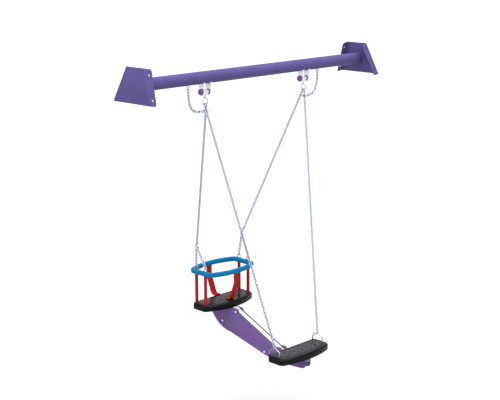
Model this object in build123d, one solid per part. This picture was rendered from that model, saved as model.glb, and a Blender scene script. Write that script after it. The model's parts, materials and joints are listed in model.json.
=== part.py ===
from build123d import *
import math
import os

# Tandem swing module for a parent and a child, hung from a tubular crossbeam.
# Units are millimetres. The origin is on the crossbeam's axis at mid-length: X runs along
# the beam, +Y points to the cradle seat's side and Z is up. Both ends are mirror images.

# ---- Driving dimensions -------------------------------------------------------------
# Crossbeam and end brackets
BEAM_DIAMETER = 76.1
BEAM_WALL = 2.9
BEAM_SPAN = 1980.0            # on the axis, between the two webs' inner faces
BRACKET_SHEET = 5.0
BRACKET_LEAN = 10.0           # degrees the web leans inward at its top
BRACKET_RISE = 107.0          # web above the beam axis
BRACKET_DROP = 99.0           # web below the beam axis
BRACKET_TOP_HALF = 85.0
BRACKET_BOTTOM_HALF = 165.0
FLANGE_DEPTH = 50.0
FLANGE_CORNER = 15.0
BEND_RADIUS = 8.0             # outer radius of the folded sheet
FLANGE_HOLE_DIAMETER = 13.0
FLANGE_HOLE_SPACING = 148.0
FLANGE_HOLE_SETBACK = 27.0    # from the web's outer face

# Hangers and safety lugs
HANGER_X = 437.5
PIVOT_DROP = 86.5             # pivot axis below the beam axis
EAR_GAP = 51.0                # between the two ears' inner faces
EAR_SHEET = 5.0
EAR_WIDTH = 53.0
PIN_DIAMETER = 12.0
RUNNING_GAP = 0.05            # radial, pin in bush
BEARING_DIAMETER = 28.0
BEARING_BORE = 18.0
BUSH_FLANGE_DIAMETER = 32.0
BUSH_FLANGE = 3.5
SIDE_PLAY = 0.5
HEAD_FLATS = 18.0
HEAD_HEIGHT = 7.5
CAP_DIAMETER = 39.0
CAP_RIM = 6.0
CAP_HEIGHT = 13.0
CAP_POCKET_DIAMETER = 24.0
CAP_POCKET = 10.5
TONGUE_SHEET = 8.0
TONGUE_WIDTH = 38.0
TONGUE_TIP_RADIUS = 14.0
TONGUE_HOLE_DROP = 34.5       # hole below the pivot axis
TONGUE_HOLE_DIAMETER = 12.0
LUG_X = 574.0
LUG_SHEET = 6.0
LUG_WIDTH = 40.0
LUG_CORNER = 16.0
LUG_BOTTOM = 69.0             # below the beam axis
LUG_HOLE_DIAMETER = 12.0
LUG_HOLE_WALL = 6.0           # metal left under the hole

# Chain and its loops
WIRE = 6.0                    # chain wire diameter
LINK_SIDE_PLAY = 2.4          # room beside a wire between a link's two legs
LINK_ROOM = 6.5               # room left inside a link between its two neighbours
LINK_PLAY = 0.25              # slack between two links
CHAIN_GAP = 1.2               # half the gap between the wires of two chains side by side
SHACKLE_WIRE = 7.0
SHACKLE_ROOM = 3.2            # shackle's width beyond its two chains side by side
SHACKLE_HEIGHT = 40.0
SHACKLE_CORNER = 8.0
SPLIT_WIRE = 6.0
SPLIT_ROOM = 11.6             # splitting loop's width beyond one link
SPLIT_HEIGHT = 24.0
SPLIT_CORNER = 6.0
SPLIT_X = 207.0
SPLIT_Y = 346.0
SPLIT_DROP = 1146.0           # upper bar of the splitting loop below the beam axis
CONNECTOR_WIRE = 5.0
CONNECTOR_ROOM = 1.2          # connector's width beyond its two chains side by side
CONNECTOR_CORNER = 6.0
CONNECTOR_LINK = 2            # which link of each main chain the connector passes through
CONNECTOR_HOOK_Y = 5.5        # where the safety chain hooks on the connector's outer leg
SAFETY_FALL = 0.97            # share of the safety chain's drop that it falls before turning
SAFETY_RUN = 0.60             # share of its run that it lies flat before the connector
SAFETY_PLAY = 1.0             # slack between two links of the unloaded safety chain
SAFETY_DIP = 6.0              # how far its curve is drawn below the connector

# Seats
SEAT_THICKNESS = 45.0
SEAT_BEVEL = 9.0
SEAT_UNDER_RADIUS = 6.0
SEAT_CORNER = 30.0
INSERT_DEPTH = 16.0           # from the seat top to the insert plate
INSERT_SHEET = 5.0
INSERT_WIDTH = 86.0
CRADLE_Y = 321.5
CRADLE_TOP = 1546.4           # cradle seat surface below the beam axis
CRADLE_LENGTH = 448.0
CRADLE_BACK = 66.0            # seat's back edge behind the cradle's centre
CRADLE_FRONT_END = 60.0
CRADLE_FRONT_MID = 118.0
FLAT_Y = -352.0
FLAT_TOP = 1738.0
FLAT_LENGTH = 444.0
FLAT_BACK = 52.0
FLAT_FRONT_END = 78.0
FLAT_FRONT_MID = 118.0
POST_X = 197.0
BAIL_X = 199.0

# Cradle guard
RING_TOP = 1321.5
RING_HEIGHT = 33.0
RING_WIDTH = 24.0
RING_ROUND = 9.5
RING_END_HALF = 86.0
RING_MID_HALF = 132.0
RING_CORNER = 26.0
CORE_HEIGHT = 16.0
CORE_WIDTH = 8.0
POST_DIAMETER = 21.5
POST_HALF_SPACING = 43.0
ROD_DIAMETER = 10.0
STRAP_WIDTH = 47.0
STRAP_THICKNESS = 9.0
STRAP_STRAIGHT = 66.0         # upright part below the ring
STRAP_FOOT_START = 84.0       # where the slant meets the seat, from the cradle's centre
STRAP_FOOT_END = 52.0
STRAP_UPPER_BEND = 60.0
STRAP_LOWER_BEND = 22.0
CRADLE_BAIL_WIRE = 6.5
CRADLE_BAIL_WIDTH = 23.0
CRADLE_BAIL_RISE = 26.0       # bail's wire centre above the ring
CRADLE_BAIL_BEND = 6.5

# Flat seat bails
BAIL_WIRE = 7.0
BAIL_HALF = 41.0
BAIL_SHOULDER = 27.0          # shoulder above the seat
BAIL_APEX = 54.0              # apex above the seat
BAIL_BEND = 8.0
BAIL_APEX_BEND = 16.0

# Link beam between the seats
TUBE_WIDTH = 35.0
TUBE_HEIGHT = 20.0
TUBE_WALL = 2.0
TUBE_REAR = 400.0
TUBE_REAR_BEND = 198.0
TUBE_FRONT_BEND = -228.0
TUBE_FRONT = -448.0
PLUG_DEPTH = 12.0
BOARD_BOLT = 8.0
BOARD_HEAD_DIAMETER = 14.0
BOARD_HEAD = 4.0
CAP_NUT_RISE = 6.0
SPACER_DIAMETER = 20.0
CRADLE_BOLT_REAR = 359.0      # Y of the bolts that hold the seats on the tube
CRADLE_BOLT_FRONT = 279.0
FLAT_BOLT_REAR = -320.0
FLAT_BOLT_FRONT = -392.0
SEAT_BOLT = 10.0
SEAT_BOLT_FLATS = 16.0
SEAT_BOLT_HEAD = 6.0
STRAP_BOLT = 6.0
STRAP_BOLT_HEAD_DIAMETER = 13.0
STRAP_BOLT_HEAD = 5.0
STRAP_BOLT_BITE = 6.3         # how far the bolt stands into the strap's foot

# Side boards; places along the board are measured from the tube's two bends
BOARD = 10.0
BOARD_LIP = 2.5               # board's edge above the tube's sloping face
BOARD_REAR = 14.0             # overhang behind the tube's rear end
BOARD_REAR_DEPTH = 40.0       # depth of the rear end
BOARD_SHOULDER = 42.0         # rear shoulder, in front of the rear bend
BOARD_STEP = 8.0              # run of the small steps at the shoulder and the horn
BOARD_HORN_RISE = 21.0        # horn above the flat seat's underside
BOARD_HORN = 24.0             # horn's rear corner, behind the front bend
BOARD_HORN_TOP = 30.0         # length of the horn's flat top
BOARD_HORN_FALL = 32.0        # run of its front slant
BOARD_BELLY = 73.0            # deepest point below the flat seat's underside
BOARD_BELLY_Y = -290.0
BOARD_NOSE_RISE = 11.0        # lower front corner above the deepest point
BOARD_KEEL_RISE = 12.0        # start of the slant to the rear, above the deepest point
BOARD_KEEL_Y = -100.0
BOARD_HAUNCH = 25.0           # end of that slant, behind the rear bend
BOARD_HAUNCH_DEPTH = 172.0
BOARD_CURVE = 157.0           # middle of the rear curve, behind the rear bend
BOARD_CURVE_DEPTH = 119.0
BOARD_NOSE_RADIUS = 25.0
BOARD_EDGE_RADIUS = 9.0
TUBE_BOLT = 26.0              # bolts through the tube, in front of its bends
REAR_BOARD_BOLT = 100.0       # bolt through the boards only, behind the rear bend
REAR_BOARD_BOLT_DEPTH = 110.0
FRONT_BOARD_BOLT = 136.0      # the same, behind the front bend
FRONT_BOARD_BOLT_DEPTH = 41.0

# ---- Worked-out sizes ---------------------------------------------------------------
BEAM_RADIUS = BEAM_DIAMETER / 2
PIVOT_Z = -PIVOT_DROP
BRACKET_HEIGHT = BRACKET_RISE + BRACKET_DROP
SLOPE = math.degrees(math.atan2(BRACKET_BOTTOM_HALF - BRACKET_TOP_HALF, BRACKET_HEIGHT))
TONGUE_HOLE_Z = PIVOT_Z - TONGUE_HOLE_DROP
LUG_HOLE_Z = -LUG_BOTTOM + LUG_HOLE_WALL + LUG_HOLE_DIAMETER / 2
LINK_WIDTH = 3 * WIRE + LINK_SIDE_PLAY
LINK_PITCH = 2 * WIRE + LINK_ROOM
CHAIN_OFFSET = WIRE + CHAIN_GAP                # half the distance between two chains on a shackle
SHACKLE_WIDTH = 2 * CHAIN_OFFSET + LINK_WIDTH + SHACKLE_ROOM
CONNECTOR_WIDTH = 2 * CHAIN_OFFSET + LINK_WIDTH + CONNECTOR_ROOM
SPLIT_OFFSET = WIRE                            # half the distance between the two bridles
SPLIT_WIDTH = LINK_WIDTH + SPLIT_ROOM
LINK_BEND = (LINK_WIDTH - WIRE) / 2
CRADLE_UNDER = -CRADLE_TOP - SEAT_THICKNESS
FLAT_UNDER = -FLAT_TOP - SEAT_THICKNESS
CORE_TOP = -RING_TOP - (RING_HEIGHT - CORE_HEIGHT) / 2
CORE_BOTTOM = CORE_TOP - CORE_HEIGHT
RING_BOTTOM = -RING_TOP - RING_HEIGHT
HALF_BEAM = TUBE_WIDTH / 2 + BOARD
SIDES = (("left", -1), ("right", 1))
ALONG_BEAM = Vector(1, 0, 0)
ACROSS = Vector(0, 1, 0)
NODES = {}


def keep(name, *solids):
    """Store a node as a plain list of its separate solids."""
    found = []
    for item in solids:
        found.extend(item.solids())
    NODES[name] = found


def along_x(radius, x_low, x_high, y, z):
    """Round bar parallel to X between two X values."""
    middle = Location(((x_low + x_high) / 2, y, z), (0, 90, 0))
    return middle * Cylinder(radius, x_high - x_low)


def along_z(radius, z_low, z_high, x, y):
    """Round bar parallel to Z between two heights."""
    return Pos(x, y, (z_low + z_high) / 2) * Cylinder(radius, z_high - z_low)


def plate_yz(sketch, x_middle, thickness):
    """Plate whose outline is drawn in Y and Z, centred on an X value."""
    plane = Plane(origin=(x_middle - thickness / 2, 0, 0), x_dir=(0, 1, 0), z_dir=(1, 0, 0))
    return extrude(plane * sketch, amount=thickness)


def swept_bar(path, diameter):
    """Round bar along an open or closed path."""
    start = Plane(origin=path @ 0, z_dir=path % 0)
    return sweep(start * Circle(diameter / 2), path=path)


def stadium(length, width):
    """Closed centre line with round ends, long along Z, in the XZ plane."""
    arc = width / 2
    straight = (length - width) / 2
    path = Wire([
        Line((arc, 0, -straight), (arc, 0, straight)),
        ThreePointArc((arc, 0, straight), (0, 0, straight + arc), (-arc, 0, straight)),
        Line((-arc, 0, straight), (-arc, 0, -straight)),
        ThreePointArc((-arc, 0, -straight), (0, 0, -straight - arc), (arc, 0, -straight)),
    ])
    return path


def wire_loop(width, height, corner, diameter):
    """Closed loop of round bar in the XZ plane, hanging from its top bar at the origin."""
    outline = Plane.XZ * Pos(0, -height / 2) * RectangleRounded(width, height, corner)
    return swept_bar(outline.face().outer_wire(), diameter)


def link_chain(start, start_bar, end, end_bar, parity=None):
    """Links from one bar to another.

    start and end are the centres of the bars that the chain hooks on, and each bar is given
    as its direction and its diameter. The first link lies square to the start bar. With
    parity 0 or 1 the number of links is made even or odd.
    """
    direction = (end - start).normalized()
    start_reach = hook_reach(direction, *start_bar)
    end_reach = hook_reach(direction, *end_bar)
    total = (end - start).length + start_reach + end_reach - LINK_PLAY - WIRE
    count = round(total / LINK_PITCH)
    if parity is not None and count % 2 != parity:
        count += 1 if total / LINK_PITCH > count else -1
    pitch = total / count
    half = (pitch + LINK_PLAY + WIRE) / 2
    link = swept_bar(stadium(2 * half, 2 * LINK_BEND), WIRE)
    first = start + direction * (half - start_reach)
    bar = start_bar[0]
    flat = (bar - direction * bar.dot(direction)).normalized()
    across = direction.cross(flat)
    links = []
    for index in range(count):
        face = flat if index % 2 == 0 else across
        place = Plane(origin=first + direction * (pitch * index), x_dir=face.cross(direction),
                      z_dir=direction)
        links.append(place.location * link)
    return links


def hook_reach(direction, bar, diameter):
    """How far a link's centre line passes the centre of the bar that it hangs on."""
    square = math.sqrt(1 - bar.dot(direction) ** 2)
    return (diameter / 2 + LINK_PLAY + WIRE / 2) / square


def bracket_plane(side):
    """Plane on the web's inner face: local Y is up the web, local Z points inward."""
    lean = math.radians(BRACKET_LEAN)
    inward = (-side * math.cos(lean), 0, -math.sin(lean))
    return Plane(origin=(side * BEAM_SPAN / 2, 0, 0), x_dir=(0, -side, 0), z_dir=inward)


def trapezoid(inset, extra):
    """Web outline, its slanted sides moved in by inset and its ends run on by extra."""
    slope = math.radians(SLOPE)
    narrow = inset / math.cos(slope)
    run = extra * math.tan(slope)
    top = BRACKET_TOP_HALF - narrow - run
    bottom = BRACKET_BOTTOM_HALF - narrow + run
    high = BRACKET_RISE + extra
    low = -BRACKET_DROP - extra
    return make_face(Polyline((-top, high), (top, high), (bottom, low), (-bottom, low), close=True))


def slanted_edges(solid, height):
    """The long slanted edges of a trapezoid block at one height."""
    level = solid.edges().filter_by_position(Axis.Z, height - 0.01, height + 0.01)
    return [edge for edge in level if abs((edge % 0.5).X) < 0.9]


def flange_hole_places():
    """Centre and outward direction of each flange hole, in the bracket's own frame."""
    slope = math.radians(SLOPE)
    middle_x = (BRACKET_TOP_HALF + BRACKET_BOTTOM_HALF) / 2
    middle_y = (BRACKET_RISE - BRACKET_DROP) / 2
    places = []
    for flange in (-1, 1):
        outward = Vector(flange * math.cos(slope), math.sin(slope), 0)
        upward = Vector(-flange * math.sin(slope), math.cos(slope), 0)
        face = Vector(flange * middle_x, middle_y, FLANGE_HOLE_SETBACK - BRACKET_SHEET)
        for end in (-1, 1):
            centre = face - outward * (BRACKET_SHEET / 2) + upward * (end * FLANGE_HOLE_SPACING / 2)
            places.append((centre, outward))
    return places


def build_bracket(name, side):
    """Folded sheet with a leaning web and two bored flanges."""
    body = extrude(Pos(0, 0, -BRACKET_SHEET) * trapezoid(0, 0), amount=FLANGE_DEPTH)
    body = fillet(slanted_edges(body, -BRACKET_SHEET), BEND_RADIUS)
    cavity = extrude(trapezoid(BRACKET_SHEET, BRACKET_SHEET), amount=FLANGE_DEPTH)
    cavity = fillet(slanted_edges(cavity, 0), BEND_RADIUS - BRACKET_SHEET)
    body -= cavity
    rim = FLANGE_DEPTH - BRACKET_SHEET
    middle = (BRACKET_RISE - BRACKET_DROP) / 2
    profile = Rectangle(BRACKET_HEIGHT, 2 * rim)
    profile = Pos(middle, 0) * fillet(profile.vertices().group_by(Axis.Y)[-1], FLANGE_CORNER)
    body &= plate_yz(profile, 0, 4 * BRACKET_BOTTOM_HALF)
    for centre, outward in flange_hole_places():
        hole = Plane(origin=centre, z_dir=outward)
        body -= hole.location * Cylinder(FLANGE_HOLE_DIAMETER / 2, 4 * BRACKET_SHEET)
    keep(f"{name}_end_bracket", bracket_plane(side).location * body)


def build_crossbeam():
    """Round tube, cut to the leaning webs at both ends."""
    tube = along_x(BEAM_RADIUS, -BEAM_SPAN, BEAM_SPAN, 0, 0)
    tube -= along_x(BEAM_RADIUS - BEAM_WALL, -BEAM_SPAN, BEAM_SPAN, 0, 0)
    for _, side in SIDES:
        trim = Box(8 * BEAM_DIAMETER, 8 * BEAM_DIAMETER, BEAM_SPAN,
                   align=(Align.CENTER, Align.CENTER, Align.MAX))
        tube -= bracket_plane(side).location * trim
    keep("crossbeam_tube", tube)


def beam_bar():
    """The crossbeam's outside, for cutting what is welded under it."""
    return along_x(BEAM_RADIUS, -BEAM_SPAN, BEAM_SPAN, 0, 0)


def build_ears(name, x):
    """Two ears welded under the beam, bored for the pivot pin."""
    outline = Pos(0, PIVOT_Z / 2) * Rectangle(EAR_WIDTH, PIVOT_DROP)
    outline += Pos(0, PIVOT_Z) * Circle(EAR_WIDTH / 2)
    outline -= Pos(0, PIVOT_Z) * Circle(PIN_DIAMETER / 2)
    ears = []
    for end in (-1, 1):
        middle = x + end * (EAR_GAP + EAR_SHEET) / 2
        ears.append(plate_yz(outline, middle, EAR_SHEET) - beam_bar())
    keep(f"{name}_hanger_ears", *ears)


def hexagon(flats, thickness, x_low, y, z):
    """Hexagonal head or nut on an axis parallel to X."""
    outline = Pos(y, z) * RegularPolygon(flats / math.sqrt(3), 6)
    return plate_yz(outline, x_low + thickness / 2, thickness)


def build_pin(name, x):
    """Domed caps over one pivot's two ends; returns its bolt and its nut."""
    reach = EAR_GAP / 2 + EAR_SHEET
    radius = PIN_DIAMETER / 2
    bolt = along_x(radius, x - reach, x + reach + HEAD_HEIGHT, 0, PIVOT_Z)
    bolt += hexagon(HEAD_FLATS, HEAD_HEIGHT, x - reach - HEAD_HEIGHT, 0, PIVOT_Z)
    nut = hexagon(HEAD_FLATS, HEAD_HEIGHT, x + reach, 0, PIVOT_Z)
    nut -= along_x(radius, x + reach - 1, x + reach + HEAD_HEIGHT + 1, 0, PIVOT_Z)
    dome_rise = CAP_HEIGHT - CAP_RIM
    dome_radius = ((CAP_DIAMETER / 2) ** 2 + dome_rise ** 2) / (2 * dome_rise)
    caps = []
    for end in (-1, 1):
        cap = Cylinder(CAP_DIAMETER / 2, CAP_HEIGHT, align=(Align.CENTER, Align.CENTER, Align.MIN))
        cap &= Pos(0, 0, CAP_HEIGHT - dome_radius) * Sphere(dome_radius)
        cap -= Cylinder(CAP_POCKET_DIAMETER / 2, CAP_POCKET,
                        align=(Align.CENTER, Align.CENTER, Align.MIN))
        place = Plane(origin=(x + end * reach, 0, PIVOT_Z), x_dir=(0, 1, 0), z_dir=(end, 0, 0))
        caps.append(place.location * cap)
    keep(f"{name}_pin_caps", *caps)
    return bolt, nut


def build_bearing(name, x):
    """Bearing tube with its two flanged bushes and the tongue welded under it."""
    half = EAR_GAP / 2 - SIDE_PLAY - BUSH_FLANGE
    outer = along_x(BEARING_DIAMETER / 2, x - half, x + half, 0, PIVOT_Z)
    keep(f"{name}_bearing_tube", outer - along_x(BEARING_BORE / 2, x - half, x + half, 0, PIVOT_Z))
    bushes = []
    for end in (-1, 1):
        low, high = sorted((x + end * half / 2, x + end * half))
        bush = along_x(BEARING_BORE / 2, low, high, 0, PIVOT_Z)
        low, high = sorted((x + end * half, x + end * (half + BUSH_FLANGE)))
        bush += along_x(BUSH_FLANGE_DIAMETER / 2, low, high, 0, PIVOT_Z)
        bush -= along_x(PIN_DIAMETER / 2 + RUNNING_GAP, x - EAR_GAP, x + EAR_GAP, 0, PIVOT_Z)
        bushes.append(bush)
    keep(f"{name}_bearing_bushes", *bushes)
    shoulder = TONGUE_WIDTH / 2
    outline = make_face(Polyline(
        (-shoulder, PIVOT_Z - BEARING_DIAMETER / 2), (shoulder, PIVOT_Z - BEARING_DIAMETER / 2),
        (TONGUE_TIP_RADIUS, TONGUE_HOLE_Z), (-TONGUE_TIP_RADIUS, TONGUE_HOLE_Z), close=True))
    outline += Pos(0, TONGUE_HOLE_Z) * Circle(TONGUE_TIP_RADIUS)
    neck = Rectangle(BEARING_DIAMETER / 2, BEARING_DIAMETER / 2)
    outline += Pos(0, PIVOT_Z - BEARING_DIAMETER / 4) * neck
    outline -= Pos(0, TONGUE_HOLE_Z) * Circle(TONGUE_HOLE_DIAMETER / 2)
    tongue = plate_yz(outline, x, TONGUE_SHEET)
    keep(f"{name}_hanger_tongue", tongue - outer)


def shackle_top():
    """Height of the shackle's upper bar, resting in the tongue's hole."""
    return TONGUE_HOLE_Z - (TONGUE_HOLE_DIAMETER - SHACKLE_WIRE) / 2 + LINK_PLAY


def build_shackle(name, x):
    """Welded loop through the tongue's hole that carries both main chains."""
    loop = wire_loop(SHACKLE_WIDTH, SHACKLE_HEIGHT, SHACKLE_CORNER, SHACKLE_WIRE)
    keep(f"{name}_hanger_shackle", Pos(x, 0, shackle_top()) * loop)


def build_lug(name, side):
    """Bored plate welded under the beam for the safety chain."""
    outline = Pos(0, -LUG_BOTTOM / 2) * Rectangle(LUG_WIDTH, LUG_BOTTOM)
    outline = fillet(outline.vertices().group_by(Axis.Y)[0], LUG_CORNER)
    outline -= Pos(0, LUG_HOLE_Z) * Circle(LUG_HOLE_DIAMETER / 2)
    keep(f"{name}_safety_lug", plate_yz(outline, side * LUG_X, LUG_SHEET) - beam_bar())


def shackle_bar(side, chain_side):
    """Centre of the shackle's lower bar where one main chain hangs."""
    x = side * HANGER_X + chain_side * CHAIN_OFFSET
    return Vector(x, 0, shackle_top() - SHACKLE_HEIGHT)


def build_main_chains(name, side):
    """Parent chain to the flat seat's bail and child chain to the splitting loop."""
    shackle = (ALONG_BEAM, SHACKLE_WIRE)
    parent = link_chain(shackle_bar(side, side), shackle, bail_apex(side), (ACROSS, BAIL_WIRE), 0)
    keep(f"{name}_parent_chain", *parent)
    child = link_chain(shackle_bar(side, -side), shackle, split_top(side), (ACROSS, SPLIT_WIRE), 0)
    keep(f"{name}_child_chain", *child)


def split_top(side):
    """Centre of the splitting loop's upper bar."""
    return Vector(side * SPLIT_X, SPLIT_Y, -SPLIT_DROP)


def bail_apex(side):
    """Centre of the flat seat bail's wire at its apex."""
    lower = BAIL_APEX_BEND * (1 / math.cos(bail_apex_turn()) - 1)
    return Vector(side * BAIL_X, FLAT_Y, -FLAT_TOP + BAIL_APEX - lower)


def bail_apex_turn():
    """Half the angle that the bail turns through at its apex."""
    return math.atan2(BAIL_APEX - BAIL_SHOULDER, BAIL_HALF)


def cradle_bail_top(side, row):
    """Centre of a cradle bail's upper bar; row is -1 in front and 1 behind."""
    return Vector(side * POST_X, CRADLE_Y + row * POST_HALF_SPACING, -RING_TOP + CRADLE_BAIL_RISE)


def build_bridles(name, side):
    """Splitting loop and the two short chains down to the cradle's bails."""
    loop = wire_loop(SPLIT_WIDTH, SPLIT_HEIGHT, SPLIT_CORNER, SPLIT_WIRE)
    top = split_top(side)
    keep(f"{name}_split_loop", Pos(*top) * Rot(0, 0, 90) * loop)
    for row_name, row in (("front", -1), ("back", 1)):
        start = top + Vector(0, row * SPLIT_OFFSET, -SPLIT_HEIGHT)
        links = link_chain(start, (ACROSS, SPLIT_WIRE), cradle_bail_top(side, row),
                           (ACROSS, CRADLE_BAIL_WIRE), 1)
        keep(f"{name}_{row_name}_bridle_chain", *links)


def bowed_outline(half_length, front_end, front_mid, back_end, back_mid, corner):
    """Closed outline with straight ends and bowed or straight long sides."""
    front = ThreePointArc((-half_length, -front_end), (0, -front_mid), (half_length, -front_end))
    right = Line((half_length, -front_end), (half_length, back_end))
    if back_mid == back_end:
        back = Line((half_length, back_end), (-half_length, back_end))
    else:
        back = ThreePointArc((half_length, back_end), (0, back_mid), (-half_length, back_end))
    left = Line((-half_length, back_end), (-half_length, -front_end))
    face = make_face([front, right, back, left])
    return fillet(face.vertices(), corner)


def seat_pan(outline, under):
    """Moulded seat body with a bevelled top rim and a rounded lower rim."""
    pan = extrude(Pos(0, 0, under) * outline, amount=SEAT_THICKNESS)
    pan = chamfer(pan.faces().sort_by(Axis.Z)[-1].edges(), SEAT_BEVEL)
    return fillet(pan.faces().sort_by(Axis.Z)[0].edges(), SEAT_UNDER_RADIUS)


def insert_plate(length, y, top):
    """Metal plate moulded into a seat."""
    z = -top - INSERT_DEPTH
    plate = Pos(0, y, z) * Box(length, INSERT_WIDTH, INSERT_SHEET,
                               align=(Align.CENTER, Align.CENTER, Align.MAX))
    return plate


def seat_bolts(y_places, tube_top, seat_top):
    """Bolts up through the tube into a seat's insert plate."""
    bolts = []
    low = tube_top - TUBE_HEIGHT
    for y in y_places:
        bolt = along_z(SEAT_BOLT / 2, low, -seat_top - INSERT_DEPTH, 0, y)
        head = RegularPolygon(SEAT_BOLT_FLATS / math.sqrt(3), 6)
        bolt += extrude(Pos(0, y, low - SEAT_BOLT_HEAD) * head, amount=SEAT_BOLT_HEAD)
        bolts.append(bolt)
    return bolts


def ring_centre_line(offset):
    """Guard ring's outline, moved out by offset from its centre line."""
    outline = bowed_outline(POST_X, RING_END_HALF, RING_MID_HALF, RING_END_HALF, RING_MID_HALF,
                            RING_CORNER)
    return Pos(0, CRADLE_Y, 0) * offset_face(outline, offset)


def offset_face(face, amount):
    """Face grown by an amount, with round corners kept round."""
    return offset(face, amount=amount, kind=Kind.ARC) if amount else face


def band(half_width, low, high):
    """Closed band that follows the guard ring between two heights."""
    outer = extrude(Pos(0, 0, low) * ring_centre_line(half_width), amount=high - low)
    inner = extrude(Pos(0, 0, low) * ring_centre_line(-half_width), amount=high - low)
    return outer - inner


def build_strap(row):
    """Strap from inside the ring down to a foot on the seat; row is -1 in front."""
    seat = -CRADLE_TOP + STRAP_THICKNESS / 2
    path = FilletPolyline(
        (0, CRADLE_Y + row * RING_MID_HALF, CORE_BOTTOM),
        (0, CRADLE_Y + row * RING_MID_HALF, RING_BOTTOM - STRAP_STRAIGHT),
        (0, CRADLE_Y + row * STRAP_FOOT_START, seat),
        (0, CRADLE_Y + row * STRAP_FOOT_END, seat),
        radius=[STRAP_UPPER_BEND, STRAP_LOWER_BEND],
    )
    start = Plane(origin=path @ 0, x_dir=(1, 0, 0), z_dir=path % 0)
    return sweep(start * Rectangle(STRAP_WIDTH, STRAP_THICKNESS), path=path)


def build_cradle():
    """Cradle seat with its rods, posts, guard ring, straps and bails."""
    outline = bowed_outline(CRADLE_LENGTH / 2, CRADLE_FRONT_END, CRADLE_FRONT_MID,
                            CRADLE_BACK, CRADLE_BACK, SEAT_CORNER)
    pan = Pos(0, CRADLE_Y, 0) * seat_pan(outline, CRADLE_UNDER)
    plate = insert_plate(2 * POST_X + 3 * ROD_DIAMETER, CRADLE_Y, CRADLE_TOP)
    ring = band(RING_WIDTH / 2, RING_BOTTOM, -RING_TOP)
    ring = fillet(ring.edges().filter_by(Plane.XY), RING_ROUND)
    core = band(CORE_WIDTH / 2, CORE_BOTTOM, CORE_TOP)
    rods, posts, holes = [], [], []
    plate_top = -CRADLE_TOP - INSERT_DEPTH
    for _, side in SIDES:
        for row in (-1, 1):
            spot = (side * POST_X, CRADLE_Y + row * POST_HALF_SPACING)
            rods.append(along_z(ROD_DIAMETER / 2, plate_top, CORE_BOTTOM, *spot))
            post = along_z(POST_DIAMETER / 2, -CRADLE_TOP, RING_BOTTOM + RING_ROUND, *spot)
            posts.append(post - ring - rods[-1])
            holes.append(cradle_bail(side, row))
    straps = {"front": build_strap(-1), "back": build_strap(1)}
    strap_bolts = []
    for row in (-1, 1):
        y = CRADLE_Y + row * (STRAP_FOOT_START + STRAP_FOOT_END) / 2
        bolt = along_z(STRAP_BOLT / 2, CRADLE_UNDER, -CRADLE_TOP + STRAP_BOLT_BITE, 0, y)
        head_top = CRADLE_UNDER + STRAP_BOLT_HEAD
        bolt += along_z(STRAP_BOLT_HEAD_DIAMETER / 2, CRADLE_UNDER, head_top, 0, y)
        strap_bolts.append(bolt)
    bolts = seat_bolts((CRADLE_BOLT_FRONT, CRADLE_BOLT_REAR), CRADLE_UNDER, CRADLE_TOP)
    cover = ring - core
    for piece in rods + list(straps.values()) + holes:
        cover -= piece
    for piece in rods + strap_bolts + bolts + [plate]:
        pan -= piece
    for bolt in strap_bolts + bolts:
        plate -= bolt
    keep("cradle_seat", pan)
    keep("cradle_insert_plate", plate)
    keep("cradle_ring_cover", cover)
    keep("cradle_ring_core", core)
    keep("cradle_post_rods", *rods)
    keep("cradle_post_sleeves", *posts)
    for row_name, strap in straps.items():
        for bolt in strap_bolts:
            strap -= bolt
        keep(f"cradle_{row_name}_strap", strap)
    keep("strap_foot_bolts", *strap_bolts)
    keep("cradle_seat_bolts", *bolts)


def cradle_bail(side, row):
    """U bail standing on the ring's core above one post."""
    top = cradle_bail_top(side, row)
    half = CRADLE_BAIL_WIDTH / 2
    path = FilletPolyline(
        (top.X, top.Y - half, CORE_TOP), (top.X, top.Y - half, top.Z),
        (top.X, top.Y + half, top.Z), (top.X, top.Y + half, CORE_TOP),
        radius=CRADLE_BAIL_BEND,
    )
    return swept_bar(path, CRADLE_BAIL_WIRE)


def build_cradle_bails(name, side):
    """The two bails at one end of the cradle."""
    keep(f"{name}_cradle_bails", cradle_bail(side, -1), cradle_bail(side, 1))


def flat_bail(side):
    """Wire bail on the flat seat, with two shoulders and an apex."""
    x = side * BAIL_X
    foot = -FLAT_TOP - INSERT_DEPTH
    shoulder = -FLAT_TOP + BAIL_SHOULDER
    path = FilletPolyline(
        (x, FLAT_Y - BAIL_HALF, foot), (x, FLAT_Y - BAIL_HALF, shoulder),
        (x, FLAT_Y, -FLAT_TOP + BAIL_APEX),
        (x, FLAT_Y + BAIL_HALF, shoulder), (x, FLAT_Y + BAIL_HALF, foot),
        radius=[BAIL_BEND, BAIL_APEX_BEND, BAIL_BEND],
    )
    return swept_bar(path, BAIL_WIRE)


def build_flat_seat():
    """Flat seat with its insert plate and wire bails."""
    outline = bowed_outline(FLAT_LENGTH / 2, FLAT_FRONT_END, FLAT_FRONT_MID, FLAT_BACK, FLAT_BACK,
                            SEAT_CORNER)
    pan = Pos(0, FLAT_Y, 0) * seat_pan(outline, FLAT_UNDER)
    plate = insert_plate(2 * BAIL_X + 2 * BAIL_WIRE, FLAT_Y, FLAT_TOP)
    bolts = seat_bolts((FLAT_BOLT_FRONT, FLAT_BOLT_REAR), FLAT_UNDER, FLAT_TOP)
    for piece in [plate, flat_bail(-1), flat_bail(1)] + bolts:
        pan -= piece
    for bolt in bolts:
        plate -= bolt
    keep("flat_seat", pan)
    keep("flat_insert_plate", plate)
    keep("flat_seat_bolts", *bolts)
    for name, side in SIDES:
        keep(f"{name}_flat_seat_bail", flat_bail(side))


def tube_slope():
    """Fall of the tube's middle part, as rise over run."""
    return (CRADLE_UNDER - FLAT_UNDER) / (TUBE_REAR_BEND - TUBE_FRONT_BEND)


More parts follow.
